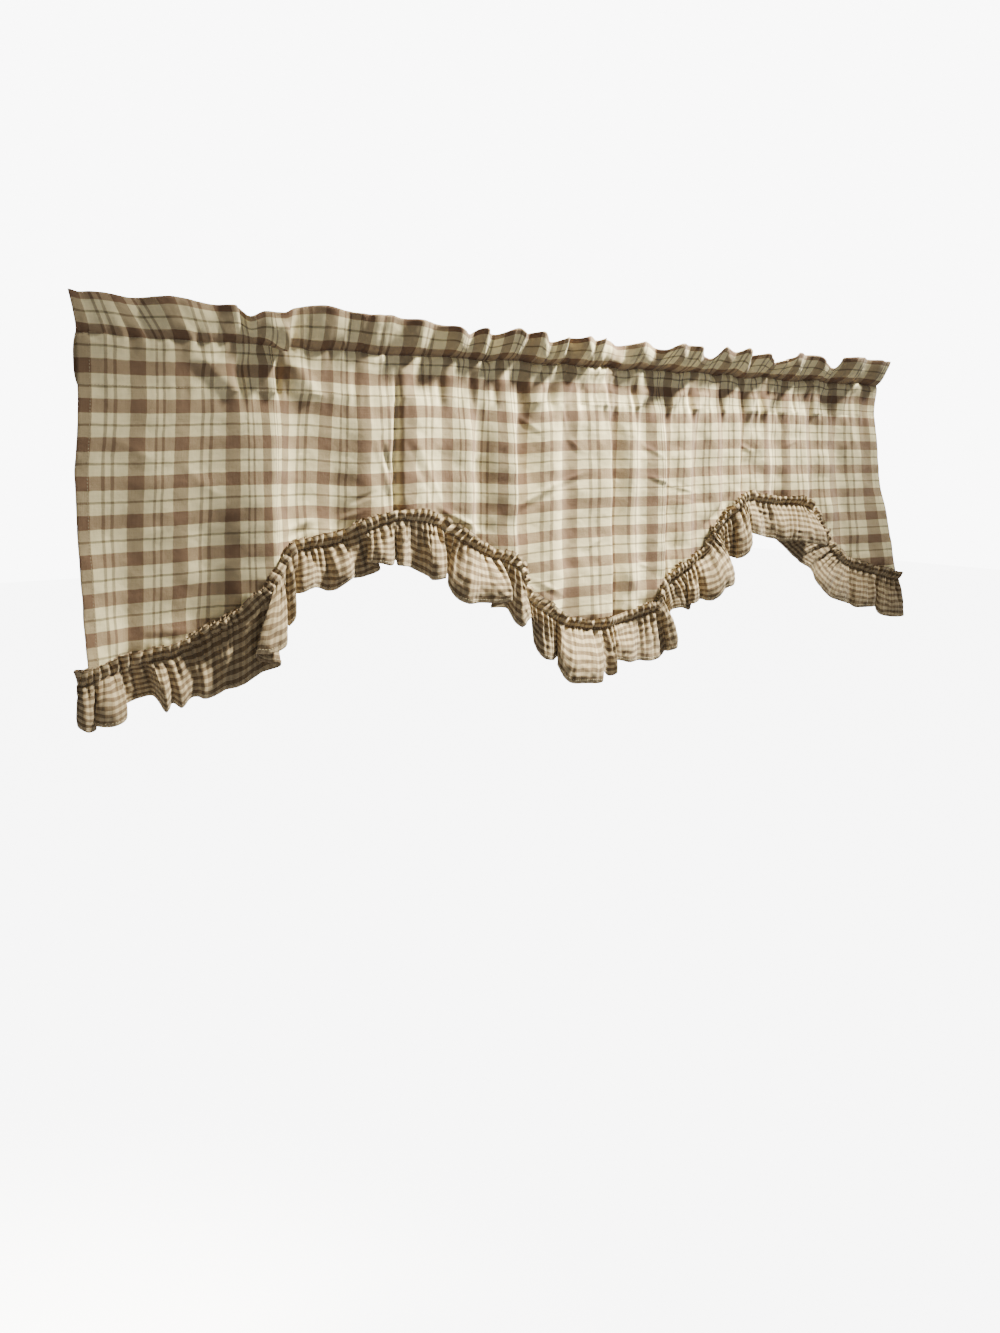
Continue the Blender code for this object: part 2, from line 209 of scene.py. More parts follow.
CREASED = 0.75          # how much of each crease's height is taken
SEAM_FORWARD = 1.0      # how far the gathered cloth stands forward at the pocket's lower seam

# The pocket along its length: how strongly its small gathers and its deep grooves show, and
# how far it stands open.
GATHERING = rows(
    "along puckers grooves pocket",
    (0, 0.8, 0.3, 0.35), (120, 1.0, 0.35, 0.25), (180, 1.0, 0.6, 0.3), (300, 0.9, 0.5, 0.42),
    (430, 1.2, 0.8, 0.7), (620, 1.3, 1.0, 0.85), (1050, 1.4, 1.05, 0.9), (1203, 1.0, 0.6, 0.95))

# Deep folds of the pocket, each hollow with the crest to its right: the hollow's place, the
# crest's place half way down the pocket and at the lower seam, and how deep the fold is.
POCKET_FOLDS = rows(
    "hollow crest low deep",
    (160, 122, 150, 9.5), (199, 184, 190, 12), (200, 214, 236, 9), (286, 300, 290, 2.5),
    (337, 345, 342, 5), (392, 412, 398, 4.8), (437, 452, 441, 4.2), (468, 484, 474, 5),
    (507, 549, 528, 7.8), (551, 585, 577, 5.5), (601, 634, 640, 7), (643, 655, 650, 6),
    (687, 722, 691, 9.5), (747, 781, 750, 9), (789, 824, 804, 9.5), (850, 872, 853, 7.5),
    (896, 918, 912, 9), (929, 960, 933, 9.5), (968, 984, 974, 6.8), (1003, 1016, 1004, 4.8),
    (1045, 1058, 1052, 7.4), (1096, 1118, 1104, 5.4), (1150, 1166, 1156, 4.6))

# How far the hanging cloth's weft lies above its even place.
WEFT_RISE = rows(
    "along rise",
    (0, 1), (60, 1.5), (170, 5), (235, 5), (290, 1.5), (385, 5), (450, 3), (505, 0), (560, 4),
    (640, 6), (735, 5.5), (895, 9.5), (1080, 9.5), (1203, 9))

# How strongly the ruffle's small gathers show below its seam.
RUFFLE_GATHERS = rows(
    "along strength",
    (0, 0.55), (34, 0.45), (60, 0.7), (125, 0.45), (165, 0.15), (184, 0.15),
    (198, 0.7), (230, 1), (1203, 1))


def ease_in_out(step):
    return step * step * (3 - 2 * step)


def run_along(points):
    """Distance from the first point of a line to each of its points."""
    gaps = np.linalg.norm(np.diff(points, axis=0), axis=1)
    return np.concatenate([[0], np.cumsum(gaps)])


def unit(vectors, least=1e-9):
    return vectors / np.maximum(np.linalg.norm(vectors, axis=-1, keepdims=True), least)


def read(table, column, at, key="along"):
    """The column's values at an array of places: level at a crest or hollow, else smooth."""
    keys = np.array([row[key] for row in table], float)
    values = np.array([row[column] for row in table], float)
    at = np.clip(np.asarray(at, float), keys[0], keys[-1])
    gaps = np.diff(keys)
    rises = np.diff(values) / gaps
    slopes = np.concatenate([rises[:1], np.zeros(len(keys) - 2), rises[-1:]])
    same = rises[:-1] * rises[1:] > 0
    both = np.where(same, rises[:-1] + rises[1:], 1)
    slopes[1:-1] = np.where(same, 2 * rises[:-1] * rises[1:] / both, 0)
    low = np.clip(np.searchsorted(keys, at, side="right") - 1, 0, len(keys) - 2)
    step = (at - keys[low]) / gaps[low]
    ease = ease_in_out(step)
    start = slopes[low] * gaps[low] * step * (1 - step) ** 2
    end = slopes[low + 1] * gaps[low] * step * step * (1 - step)
    return values[low] + (values[low + 1] - values[low]) * ease + start - end


def soft_noise(seed, at, spacing):
    """Smooth noise from -1 to 1 along a line."""
    random = np.random.RandomState(seed)
    knots = random.uniform(-1, 1, 4096)
    place = np.asarray(at, float) / spacing + 700
    below = np.floor(place).astype(int)
    step = place - below
    ease = ease_in_out(step)
    return knots[below % 4096] * (1 - ease) + knots[(below + 1) % 4096] * ease


def soft_noise_2d(seed, across, down, spacing):
    """Smooth noise from -1 to 1 over a plane."""
    random = np.random.RandomState(seed)
    knots = random.uniform(-1, 1, (256, 256))
    x = np.asarray(across, float) / spacing + 60
    y = np.asarray(down, float) / spacing + 60
    x0 = np.floor(x).astype(int)
    y0 = np.floor(y).astype(int)
    fx = ease_in_out(x - x0)
    fy = ease_in_out(y - y0)

    def knot(i, j):
        return knots[i % 256, j % 256]

    low = knot(x0, y0) * (1 - fx) + knot(x0 + 1, y0) * fx
    high = knot(x0, y0 + 1) * (1 - fx) + knot(x0 + 1, y0 + 1) * fx
    return low * (1 - fy) + high * fy


# ---------------- shape of the plaid cloth
def drift(along, z):
    """Sideways shift of the cloth near its two ends, at a height."""
    down = np.maximum(0.0, STITCH_Z - z)
    left = np.maximum(0.0, 1 - along / DRIFT_REACH) * read(END_DRIFT, "left", down, "down")
    right = np.maximum(0.0, 1 - (WIDTH - along) / DRIFT_REACH)
    return left + right * read(END_DRIFT, "right", down, "down")


def seam_z(along):
    """Height of the ruffle's seam."""
    return STITCH_Z - read(SCALLOP, "drop", along)


def folds_out(along, z):
    """How far the main folds of the drop stand forward."""
    top = SEAM_Z - 1.9
    middle = top - 90.0
    hem = np.minimum(seam_z(along), middle - 60.0)
    pocket = read(DROP_FOLDS, "pocket", along)
    full = read(DROP_FOLDS, "middle", along)
    low = read(DROP_FOLDS, "hem", along)
    upper = np.clip((top - z) / (top - middle), 0, 1)
    lower = np.clip((middle - z) / (middle - hem), 0, 1)
    return pocket + (full - pocket) * upper * (2 - upper) + (low - full) * lower


def make_gathers():
    """Gathers held by the pocket's two seams, each a groove or a small puff in the cloth.

    along and z: its place at the stitches; height, wide: its size there; below, above: how far
    it reaches down and up the cloth; slant: how far it strays to the left on its way down.
    """
    random = np.random.RandomState(11)
    made = []

    def gather(along, z, height, wide, below, above, slant):
        made.append(dict(along=along, z=z, height=height, wide=wide, below=below, above=above,
                         slant=slant))

    along = 4.0
    while along < WIDTH - 3:
        strength = float(read(GATHERING, "puckers", along))
        gather(along, STITCH_Z, random.uniform(0.9, 2.2) * strength * random.choice((-1, 1)),
               random.uniform(2.0, 3.4), random.uniform(7, 18), random.uniform(6, 12), 0.1)
        gather(along + 3, SEAM_Z, random.uniform(0.3, 0.9) * strength * random.choice((-1, 1)),
               random.uniform(2.4, 4.0), random.uniform(14, 50), random.uniform(6, 14), 0.0)
        along += random.uniform(5.0, 9.5)
    for start, short, z, height, wide, below, above, slant, every in (
            (22, 10, SEAM_Z, (0.3, 1.1), (3.0, 5.0), (30, 80), (10, 26), (-0.05, 0.1), (13, 30)),
            (14, 8, STITCH_Z, (-1.5, -5), (3.0, 5.5), (20, 48), (9, 18), (0.25, 0.75), (12, 25))):
        along = float(start)
        while along < WIDTH - short:
            deep = float(read(GATHERING, "grooves", along))
            gather(along, z, random.uniform(*height) * deep, random.uniform(*wide),
                   random.uniform(*below), random.uniform(*above), random.uniform(*slant))
            along += random.uniform(*every) * (1.5 - 0.5 * deep)
    return made


GATHERS = make_gathers()


def pocket_folds_out(along, z):
    """Forward shift from the deep folds of the pocket, which end soon below it."""
    down = (STITCH_Z - z) / POCKET
    start = 0.02 + 0.18 * np.clip((along - 330) / 200, 0, 1)
    strength = np.clip((down - start) / 0.4, 0, 1) ** 1.5
    strength = strength * np.exp(-np.maximum(0.0, down - 1) * POCKET / 9)
    total = np.zeros(np.broadcast(along, z).shape)
    for fold in POCKET_FOLDS:
        run = np.clip((down - 0.4) / 0.6, 0, 1)
        crest = fold["crest"] + (fold["low"] - fold["crest"]) * run
        gap = crest - fold["hollow"]
        side = math.copysign(1, fold["crest"] - fold["hollow"])
        gap = gap * side
        beyond = (along - crest) * side
        rise = np.exp(-(beyond / np.where(beyond < 0, gap * 0.7 + 3, 13)) ** 2)
        past = (along - fold["hollow"]) * side
        sunk = np.exp(-((past - 2) / (3 + gap * 0.15)) ** 2)
        edge = np.exp(-((past + 4.5) / 3.5) ** 2)
        total += fold["deep"] * strength * (0.6 * rise - 0.6 * sunk + 0.2 * edge)
    return total


def gathers_out(along, z):
    """Forward shift from the gathers at a height."""
    total = pocket_folds_out(along, z)
    for gather in GATHERS:
        down = gather["z"] - z
        below = np.maximum(0.0, down)
        middle = gather["along"] - gather["slant"] * np.minimum(below, 60)
        spread = gather["wide"] * (1 + below / 40)
        aside = (along - middle) / spread
        fade = np.exp(-(below / gather["below"]) ** 1.4 - np.maximum(0.0, -down)
                      / gather["above"])
        total += gather["height"] * fade * np.exp(-aside * aside)
    return total


def creases_out(along, z):
    """Forward shift from the dragged creases."""
    down = STITCH_Z - z
    total = np.zeros(np.broadcast(along, z).shape)
    for crease in CREASES:
        run_x = crease["along_to"] - crease["along"]
        run_y = crease["down_to"] - crease["down"]
        length = math.hypot(run_x, run_y)
        dx = along - crease["along"]
        dy = down - crease["down"]
        step = (dx * run_x + dy * run_y) / length ** 2
        aside = (dx * run_y - dy * run_x) / length
        taper = np.clip(1 - (2 * step - 1) ** 2, 0, 1)
        total += CREASED * crease["height"] * taper * np.exp(-(aside / crease["wide"]) ** 2)
    return total


def crumple_out(along, z):
    """The slight unevenness of washed cotton."""
    total = 1.1 * soft_noise_2d(3, along, z, 34) + 0.5 * soft_noise_2d(4, along, z, 15)
    total = total + 1.3 * soft_noise_2d(8, along, z * 0.4, 36)
    return total + 0.12 * soft_noise_2d(5, along, z, 6)


def drop_out(along, z):
    """How far the hanging drop stands forward, with every fold and crease."""
    hanging = np.clip((SEAM_Z - z) / 30, 0, 1)
    fine = gathers_out(along, z) + crumple_out(along, z) * hanging + creases_out(along, z)
    below = np.maximum(0.0, SEAM_Z - z)
    swell = 0.8 * (below / 14) * np.exp(1 - below / 14) + SEAM_FORWARD * np.exp(-below / 60)
    swell = swell * read(GATHERING, "pocket", along)
    above = np.maximum(0.0, z - seam_z(along))
    tugs = 1.6 * soft_noise(6, along, 6) * np.exp(-above / 14)
    tugs = tugs + 2.6 * soft_noise_2d(7, along, z, 19) * np.exp(-above / 38)
    return folds_out(along, z) + fine + swell + tugs


def place(along, out, z, shear=0.0):
    """Points in the valance's own frame, in millimetres, as an array of triples."""
    x = along - WIDTH / 2 + drift(along, z) + shear * out
    return np.stack(np.broadcast_arrays(x, -out - SEAM_OUT, z), axis=-1)


def stitch_z(along):
    """Height of the header's seam, which the gathers pull up and down a little."""
    pulled = np.clip(read(GATHERING, "grooves", along), 0.7, 1)
    return STITCH_Z + 2.8 * soft_noise(24, along, 24) * pulled


def header_rows(along, levels, side):
    """The standing ruffle: levels from 0 at its seam to 1 at its top, in front or behind."""
    level = levels[:, None]
    strength = read(GATHERING, "puckers", along)
    fine = 1.7 * soft_noise(21, along, 9) * strength
    right = read(HEADER_LEAN, "right", along)
    strays = along + (right + 15 * soft_noise(25, along, 36)) * level
    rise = read(HEADER_WAVES, "rise", along + right) + 0.8 * soft_noise(22, along, 13)
    waves = HEADER_SWING * read(HEADER_WAVES, "out", strays) + fine
    seam = stitch_z(along)
    z = seam + (STITCH_Z + rise - seam) * level
    pinch = 1.4 * gathers_out(along, z)
    flare = FLARE * read(GATHERING, "pocket", along) * (1 - np.exp(-level / 0.13))
    flare = flare * (1 + 0.7 * soft_noise(29, along, 24))
    forward = flare + read(HEADER_LEAN, "forward", along) * level - 1.6 * level ** 5
    crumple = 0.8 * soft_noise_2d(23, along, z, 14) + 0.4 * soft_noise_2d(27, along, z, 6)
    sag = np.exp(-((along - KNOT) / np.where(along < KNOT, 13, 4)) ** 2)
    out = waves * level ** 0.75 + forward + pinch + crumple * level
    out = out + KNOT_OUT * sag * np.exp(-((level - 0.34) / 0.3) ** 2)
    z = z - KNOT_SAG * sag * np.exp(-((level - 0.2) / 0.2) ** 2)
    middle = place(along, out, z)
    middle[..., 0] += right * level
    return offset(middle, side * (LAYERS * (0.45 + 0.55 * level)))


def offset(points, distance):
    """Rows of points moved sideways in plan, towards the room for a positive distance."""
    step = np.gradient(points, axis=1)
    length = np.maximum(np.hypot(step[..., 0], step[..., 1]), 1e-6)
    moved = points.copy()
    moved[..., 0] += distance * step[..., 1] / length
    moved[..., 1] -= distance * step[..., 0] / length
    return moved


def pocket_rows(along, downs, side):
    """A wall of the rod pocket: downs from 0 at the upper seam to 1 at the lower one."""
    down = downs[:, None]
    seam = stitch_z(along)
    z = seam - (seam - SEAM_Z) * down
    if side > 0:
        round_wall = 1.25 * (1 - np.exp(-down / 0.08)) * np.exp(-(down / 0.36) ** 2.2)
        puffs = 0.8 * soft_noise(26, along, 23) + 0.35 * soft_noise(28, along, 9)
        round_wall = round_wall * np.clip(0.75 + 0.7 * puffs, 0.1, 1.2)
        bulge = POCKET_FRONT * read(GATHERING, "pocket", along) * round_wall
    else:
        bulge = POCKET_BACK * (1 - np.abs(2 * down - 1) ** 3)
    pucker = 0.14 * read(HEADER_WAVES, "out", along) * 4 * down * (1 - down)
    swayed = np.maximum(0.0, 2 * down - 1) ** 1.5 * read(DROP_FOLDS, "pocket", along)
    front = gathers_out(along, z)
    if side < 0:
        inside = 4 * down * (1 - down)
        front = front * (1 - inside) - 0.8 * gathers_out(WIDTH - along, z) * inside
    shelf = SEAM_FORWARD * read(GATHERING, "pocket", along) * down ** 6
    out = swayed + side * (bulge + pucker + CLOTH_LIFT) + front + shelf
    return place(along, out, z, FOLD_SHEAR * 0.4)


def drop_rows(along, levels):
    """The hanging drop: levels from 0 at the lower pocket seam to 1 at the cut edge."""
    bottom = seam_z(along) - PANEL_BELOW_SEAM
    z = SEAM_Z + (bottom - SEAM_Z) * levels[:, None]
    out = drop_out(along, z) + CLOTH_LIFT
    shear = FOLD_SHEAR * np.clip(0.4 + levels[:, None] * 2.5, 0, 1)
    return place(along, out, z, shear)


def even_columns(count, curve, start, end):
    """Places along the rod that are evenly spaced on a curve in plan."""
    dense = np.linspace(start, end, 6000)
    points = curve(dense)
    run = run_along(points)
    return np.interp(np.linspace(0, run[-1], count), run, dense)


def cloth_normals(points):
    """Unit normals of a grid of points, on the cloth's right side."""
    across = np.gradient(points, axis=1)
    down = np.gradient(points, axis=0)
    return unit(np.cross(down, across))


def side_hems(points, u, v, width, depth=HEM_DEPTH):
    """Adds a folded hem behind the first and last columns of a grid of cloth."""
    normal = cloth_normals(points) * np.broadcast_to(depth, (len(points),))[:, None, None]
    hems = []
    for ends in (1, -1):
        column = 0 if ends == 1 else points.shape[1] - 1
        inward = np.abs(u[0] - u[0, column])
        picks = [int(np.argmin(np.abs(inward - reach) + (inward > width * 2) * 1e6))
                 for reach in (width * 0.1, width * 0.5, width)]
        back = [points[:, pick] - normal[:, pick] for pick in picks]
        edge = points[:, column] - normal[:, column] / 2
        towards = points[:, column] - points[:, column + ends]
        edge = edge + unit(towards, 1e-6) * 0.35
        turn = [u[0, column] - ends * reach for reach in (0.8, width * 0.1, width * 0.5, width)]
        block = np.stack([edge] + back, axis=1)
        block_u = np.broadcast_to(np.array(turn), block.shape[:2])
        if ends == 1:
            block = block[:, ::-1]
            block_u = block_u[:, ::-1]
        hems.append((block, block_u, np.repeat(v[:, column:column + 1], 4, axis=1)))
    left, right = hems
    return [np.concatenate(parts, axis=1) for parts in zip(left, (points, u, v), right)]


def lower_hem(points, u, v, depths):
    """Adds a folded hem behind the last rows of a grid of cloth."""
    normal = cloth_normals(points)
    last = points.shape[0] - 1
    edge = points[last] - normal[last] * HEM_DEPTH / 2
    edge = edge + np.array([0, 0, -0.3])
    blocks = [edge]
    places = [v[last] + 0.6]
    for back in depths:
        blocks.append(points[last - back] - normal[last - back] * HEM_DEPTH)
        places.append(v[last] + 0.6 + (v[last] - v[last - back]))
    hem = np.stack(blocks)
    hem_u = np.repeat(u[last:last + 1], len(blocks), axis=0)
    return (np.concatenate([points, hem]), np.concatenate([u, hem_u]),
            np.concatenate([v, np.stack(places)]))


def placed(name, mesh, surface):
    """A mesh's object, smooth, with its material, riding the root body."""
    mesh.shade_smooth()
    mesh.materials.append(surface)
    mesh.validate()
    made = bpy.data.objects.new(name, mesh)
    bpy.context.scene.collection.objects.link(made)
    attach(made, "root")
    return made


def cloth_object(name, points, u, v, surface):
    """An object made of a grid of points, with its flat cloth coordinates as a UV map."""
    down, across = points.shape[:2]
    corner = np.arange(down * across).reshape(down, across)
    faces = np.stack([corner[:-1, :-1], corner[1:, :-1], corner[1:, 1:], corner[:-1, 1:]],
                     axis=-1).reshape(-1, 4)
    mesh = bpy.data.meshes.new(name)
    mesh.vertices.add(down * across)
    mesh.vertices.foreach_set("co", (points * MM).reshape(-1).astype(np.float32))
    mesh.loops.add(faces.size)
    mesh.loops.foreach_set("vertex_index", faces.reshape(-1).astype(np.int32))
    mesh.polygons.add(len(faces))
    mesh.polygons.foreach_set("loop_start", np.arange(0, faces.size, 4, dtype=np.int32))
    mesh.update(calc_edges=True)
    flat = np.stack([u, v], axis=-1).reshape(-1, 2)[faces.reshape(-1)] / 100
    layer = mesh.uv_layers.new(name="cloth")
    layer.data.foreach_set("uv", flat.reshape(-1).astype(np.float32))
    return placed(name, mesh, surface)


def band_u(along):
    """Place across the flat cloth, so that the brown warp bands come where BANDS says."""
    places = np.array([row["along"] for row in BANDS], float)
    flat = np.arange(len(places)) * WARP_REPEAT
    before = flat[0] - (places[0] + 40) * WARP_REPEAT / (places[1] - places[0])
    after = flat[-1] + 90 * WARP_REPEAT / (places[-1] - places[-2])
    places = np.concatenate([[-40], places, [places[-1] + 90]])
    flat = np.concatenate([[before], flat, [after]])
    straight = np.interp(along, places, flat)
    soft = [np.interp(along + shift, places, flat) for shift in (-6, -3, 3, 6)]
    return (straight * 2 + sum(soft)) / 6


PLAID_COLUMNS = 560
POCKET_STEPS = np.linspace(0, 1, 27)
HEADER_STEPS = np.linspace(0, 1, 20)
DROP_STEPS = np.concatenate([np.linspace(0, 0.1, 15), np.linspace(0.1, 1, 140)[1:]])


def plaid_columns():
    """Columns of the plaid cloth, closer together where its folds are steep."""
    def curve(dense):
        out = folds_out(dense, np.full_like(dense, SEAM_Z - 90))
        head = read(HEADER_WAVES, "out", dense) * HEADER_SWING
        return np.stack([dense, out, head], axis=1)
    return even_columns(PLAID_COLUMNS, curve, 0.0, WIDTH)


def make_heading(surface):
    """The plaid cloth of the heading: up the back of the pocket, over its top and down."""
    along = plaid_columns()
    points = np.concatenate([
        pocket_rows(along, POCKET_STEPS[::-1], -1), header_rows(along, HEADER_STEPS[1:], -1),
        header_rows(along, HEADER_STEPS[::-1], 1), pocket_rows(along, POCKET_STEPS[1:], 1)])
    back_top = len(POCKET_STEPS) + len(HEADER_STEPS) - 2
    top = (points[back_top] + points[back_top + 1]) / 2 + np.array([0, 0, LAYERS])
    points = np.insert(points, back_top + 1, top, axis=0)
    header_v = HEADER * (1 - HEADER_STEPS)
    pocket_v = HEADER + TAKEN_UP + POCKET_CLOTH * POCKET_STEPS
    v = np.concatenate([-pocket_v[::-1], -header_v[1:], [0], header_v[::-1], pocket_v[1:]])
    v = np.tile(v[:, None], (1, len(along)))
    risen = np.clip((np.abs(v) - HEADER - TAKEN_UP) / POCKET_CLOTH, 0, 1)
    v = v + np.sign(v) * risen * read(WEFT_RISE, "rise", along)
    u = np.tile(band_u(along)[None], (len(points), 1))
    in_header = np.abs(v[:, 0]) < HEADER + TAKEN_UP + 3
    points, u, v = side_hems(points, u, v, PLAID_HEM, np.where(in_header, 0.22, HEM_DEPTH))
    return cloth_object("heading_cloth", points, u, v, surface)


def make_drop(surface):
    """The plaid cloth hanging from the pocket's lower seam to the scalloped edge."""
    along = plaid_columns()
    points = drop_rows(along, DROP_STEPS)
    points[0] = pocket_rows(along, np.array([1.0]), 1)[0]
    # distance down the cloth; part of a fold's extra length shows as a sagging weft
    run = np.concatenate([np.zeros((1, len(along))), np.cumsum(
        np.linalg.norm(np.diff(points, axis=0), axis=2), axis=0)])
    down = SEAM_Z - points[..., 2]
    over = run - down
    v = HEADER + TAKEN_UP + POCKET_CLOTH + read(WEFT_RISE, "rise", along) + down
    v = v + 0.35 * (over - over.mean(axis=1, keepdims=True))
    u = np.tile(band_u(along)[None], (len(points), 1))
    points, u, v = side_hems(points, u, v, PLAID_HEM)
    points, u, v = lower_hem(points, u, v, (2, 4))
    return cloth_object("drop_cloth", points, u, v, surface)


# ---------------- shape of the ruffle
RUFFLE_COLUMNS = 1900
BODY_STEPS = np.concatenate([np.linspace(0, 0.25, 11)[1:], np.linspace(0.25, 1, 22)[1:]])
FRILL_STEPS = np.linspace(1, 0, 11)
SEAM_LIFT = 2.8         # the ruffle's seam lies this far in front of the panel
SEAM_REACH = 8.0        # over the panel's highest place this far to each side
GATHER = 9.6            # distance between two gathers of the frill along the seam
GATHER_HEIGHT = 6.0     # how far a gather swings at the frill's edge
GATHER_HELD = 1.9       # and at the stitches
GATHER_FADE = 36.0      # its length below the stitches
LOBE_SWING = 0.72       # how much of a lobe's swing its cloth takes
FRILL_FORWARD = 3.4     # how far the frill rolls forward of the stitches
FRILL_LOOP = 2.9        # how far its edge loops to each side


def smooth_curve(table, columns, count):
    """A smooth curve through a table's rows, in the named columns, with its row numbers."""
    knots = np.array([[row[column] for column in columns] for row in table], float)
    gaps = np.maximum(np.linalg.norm(np.diff(knots[:, :3], axis=0), axis=1), 0.5) ** 0.5
    t = np.concatenate([[0], np.cumsum(gaps)])
    slopes = np.diff(knots, axis=0) / gaps[:, None]
    tangents = np.empty_like(knots)
    tangents[0] = slopes[0]
    tangents[-1] = slopes[-1]
    before = gaps[:-1, None]
    after = gaps[1:, None]
    tangents[1:-1] = (slopes[:-1] * after + slopes[1:] * before) / (before + after)
    at = np.linspace(0, t[-1], count)
    low = np.clip(np.searchsorted(t, at, side="right") - 1, 0, len(t) - 2)
    span = gaps[low][:, None]
    step = ((at - t[low]) / gaps[low])[:, None]
    double = step * step
    triple = double * step
    curve = knots[low] * (2 * triple - 3 * double + 1)
    curve = curve + tangents[low] * span * (triple - 2 * double + step)
    curve = curve + knots[low + 1] * (3 * double - 2 * triple)
    curve = curve + tangents[low + 1] * span * (triple - double)
    return curve, low + step[:, 0]


def ruffle_lines():
    """The ruffle's seam and hem at each of its columns, with the cloth's length along it."""
    hem = [dict(row, across=row["along"] + row["lean"]) for row in HEM_FOLDS]
    curve, number = smooth_curve(hem, ("across", "out", "drop"), 16000)
    along = np.interp(number, np.arange(len(hem)), [row["along"] for row in hem])
    held = np.clip(along, 0, WIDTH)
    hem_z = seam_z(held) - curve[:, 2]
    hem_x = curve[:, 0] - WIDTH / 2 + drift(held, seam_z(held))
    points = np.stack([hem_x, curve[:, 1], hem_z], axis=1)
    run = run_along(points)
    u = np.linspace(0, run[-1], RUFFLE_COLUMNS)
    columns = [np.interp(u, run, line) for line in (along, *points.T)]
    return u, columns[0], np.stack(columns[1:], axis=1)


def seam_base(along):
    """How far forward the ruffle is held along its seam, clear of the panel under it."""
    held = np.clip(along, 0, WIDTH)
    z = seam_z(held)
    reach = np.linspace(-SEAM_REACH, SEAM_REACH, 9)
    fronts = [drop_out(np.clip(held + shift, 0, WIDTH), z) for shift in reach]
    fronts += [drop_out(held, z + lift) for lift in (4, 8)]
    return np.max(fronts, axis=0) + SEAM_LIFT


def blurred(values, width):
    """A line of values with its small changes smoothed away."""
    kernel = np.hanning(width)
    padded = np.pad(values, width // 2, mode="edge")
    return np.convolve(padded, kernel / kernel.sum(), mode="valid")[:len(values)]


def ruffle_points():
    """The ruffle's rows, from the top of its frill to its hem, with its cloth coordinates."""
    u, along, hem = ruffle_lines()
    held = np.clip(along, 0, WIDTH)
    z = blurred(seam_z(held), 41)
    x = along - WIDTH / 2 + drift(held, seam_z(held))
    base = blurred(seam_base(along), 31)
    run = np.concatenate([[0], np.cumsum(np.hypot(np.diff(x), np.diff(z)))])
    rise = np.gradient(z) / np.maximum(np.gradient(x), 1e-3)
    rise = blurred(np.clip(rise, -2.2, 2.2), 61)
    tangent = np.stack([1 / np.hypot(1, rise), rise / np.hypot(1, rise)])
    phase = 2 * math.pi * (run / GATHER + 0.8 * soft_noise(31, run, 24))
    strength = np.clip(0.85 + 0.6 * soft_noise(32, run, 26), 0.3, 1.4)
    held_in = read(RUFFLE_GATHERS, "strength", held)
    wave = 2.1 * np.abs(np.sin(phase / 2)) ** 0.8 - 1.2 + 0.5 * soft_noise(41, run, 8)
    loop = np.sin(2 * phase + 0.5 + 1.4 * soft_noise(35, run, 15))
    points = []
    # the frill above the stitches: it flares forward and its edge curls into small loops
    tall = RUFFLE_HEADING * (0.92 + 0.16 * soft_noise(34, run, 11) + 0.10 * wave)
    for above in FRILL_STEPS:
        swing = (GATHER_HELD + (GATHER_HEIGHT - GATHER_HELD) * above ** 0.8) * strength
        aside = FRILL_LOOP * above * loop * strength
        up = tall * above - 1.4 * above ** 3 * (1 + wave)
        px = x + tangent[0] * aside - tangent[1] * up
        pz = z + tangent[1] * aside + tangent[0] * up
        panel = drop_out(np.clip(along + px - x, 0, WIDTH), pz)
        clear = blurred(np.maximum(base, panel + SEAM_LIFT + 1.2 * above), 25)
        out = clear + swing * wave + FRILL_FORWARD * math.sin(math.pi * above ** 0.8 * 0.86)
        points.append(np.stack([px, -out - SEAM_OUT, pz], axis=1))
    length = np.linalg.norm(hem - np.stack([x, base, z], axis=1), axis=1)
    for below in BODY_STEPS:
        depth = below * length
        swing = (GATHER_HELD + 2.4 * (depth / 9) * np.exp(1 - depth / 9)) * strength
        swing = swing * np.exp(-(depth / GATHER_FADE) ** 1.3) * held_in
        fine = 1.1 * soft_noise(33, u, 9) + 0.5 * soft_noise(36, u, 4.5)
        fine = fine + 1.2 * soft_noise_2d(38, u, depth * 0.45, 7)
        fine = fine + 1.1 * soft_noise_2d(39, u * 0.5, depth, 4.5)
        fine = fine * np.clip(depth / 8, 0, 1) * (1 - 0.5 * below)
        flare = 1.12 * math.sin(0.62 * math.pi * below)
        out = base + LOBE_SWING * (hem[:, 1] - base) * flare + swing * wave + fine
        px = x + (hem[:, 0] - x) * (1 - (1 - below) ** 1.5) + 1.2 * loop * np.exp(-depth / 9) * (
            np.clip(depth / 4, 0, 1))
        pz = z + (hem[:, 2] - z) * below
        points.append(np.stack([px, -out - SEAM_OUT, pz], axis=1))
    depths = [RUFFLE_HEADING * (1 - above) for above in FRILL_STEPS]
    depths += [RUFFLE_HEADING + RUFFLE_DROP * below for below in BODY_STEPS]
    v = np.array(depths)[:, None]
    v = v + 1.4 * soft_noise_2d(40, u, v, 13)
    return np.stack(points), np.tile(u[None], (len(depths), 1)), v


def make_ruffle(surface):
    """The gathered gingham strip along the scalloped edge."""
    points, u, v = ruffle_points()
    points, u, v = side_hems(points, u, v, RUFFLE_HEM)
    points, u, v = lower_hem(points, u, v, (1, 2))
    return cloth_object("gingham_cloth", points, u, v, surface)


# ---------------- stitching
STITCH_LENGTH = 2.3     # a stitch seen on the cloth
STITCH_EVERY = 3.2      # from one stitch to the next
STITCH_THICK = 0.26     # half of its thickness
STITCH_LIFT = (-0.1, 0.16, -0.1)    # how far its ends and its middle stand over the cloth
STITCH_TAPER = (0.6, 1.0, 0.6)
SIDE_STITCH = 11.0      # the side hems' stitches lie this far inside the ends


